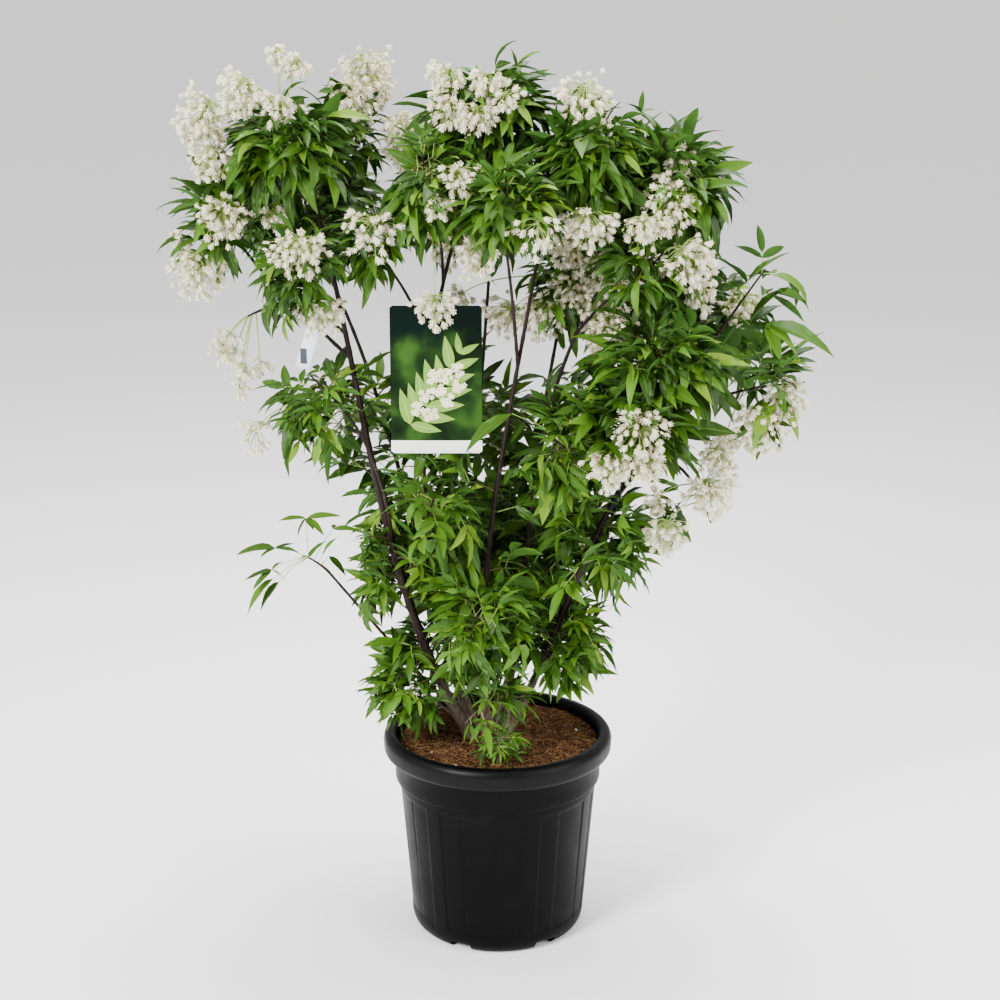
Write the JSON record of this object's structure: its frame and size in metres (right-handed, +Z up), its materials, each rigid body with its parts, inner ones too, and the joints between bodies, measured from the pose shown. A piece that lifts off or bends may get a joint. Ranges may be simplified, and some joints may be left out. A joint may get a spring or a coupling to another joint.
{
  "type": "potted colchis bladdernut",
  "caption": "Potted flowering shrub: slender arching stems with drooping compound leaves and hanging clusters of white blossom, in a round black nursery pot with a rolled rim.",
  "frame": {"origin": "centre of the pot's flat underside", "axes": "+Z up along the pot's axis; -Y towards the side that the picture shows; +X to the right of that view"},
  "size_m": [0.904, 0.4876, 1.28],
  "materials": {
    "pot_plastic": "black moulded polypropylene, satin, with faint scuffs and a smear of soil",
    "potting_soil": "moist brown peat and coir fibre with lighter chips",
    "bark": "smooth dark red-brown bark on young stems, paler and cracked at the foot",
    "foliage": "mid to deep green leaflets, satin above and paler below, with creamy white blossom",
    "label_film": "printed satin plastic film in plain greens with a bare white foot",
    "tie_plastic": "pale green soft plastic",
    "strip_paper": "plain white coated paper"
  },
  "bodies": {
    "root": {"bough_centre_front": "bark", "bough_centre_left": "bark", "bough_left_back": "bark", "bough_left_inner": "bark", "bough_left_outer": "bark", "bough_left_spray": "bark", "bough_left_tassel": "bark", "bough_mid_left": "bark", "bough_right_hang": "bark", "bough_right_tip": "bark", "bough_shoulder_low": "bark", "foliage_centre_back": "foliage", "foliage_centre_front": "foliage", "foliage_centre_left": "foliage", "foliage_centre_right": "foliage", "foliage_centre_top": "foliage", "foliage_foot_front": "foliage", "foliage_foot_left": "foliage", "foliage_left_back": "foliage", "foliage_left_inner": "foliage", "foliage_left_low": "foliage", "foliage_left_outer": "foliage", "foliage_left_spray": "foliage", "foliage_left_tassel": "foliage", "foliage_left_top": "foliage", "foliage_left_top_back": "foliage", "foliage_low_back": "foliage", "foliage_low_front": "foliage", "foliage_low_left": "foliage", "foliage_low_right": "foliage", "foliage_mid_back": "foliage", "foliage_mid_centre": "foliage", "foliage_mid_left": "foliage", "foliage_mid_right": "foliage", "foliage_mid_right_low": "foliage", "foliage_right_back": "foliage", "foliage_right_hang": "foliage", "foliage_right_low": "foliage", "foliage_right_mid": "foliage", "foliage_right_tip": "foliage", "foliage_right_top": "foliage", "foliage_shoulder": "foliage", "foliage_shoulder_back": "foliage", "foliage_shoulder_low": "foliage", "foliage_sprout": "foliage", "foliage_under_centre": "foliage", "label_card": "label_film", "label_tie": "tie_plastic", "paper_strip": "strip_paper", "pot": "pot_plastic", "soil": "potting_soil", "stem_back_left": "bark", "stem_back_mid": "bark", "stem_back_right": "bark", "stem_centre_dark": "bark", "stem_centre_front": "bark", "stem_centre_right": "bark", "stem_inner_left": "bark", "stem_left": "bark", "stem_right": "bark"}
  },
  "joints": []
}
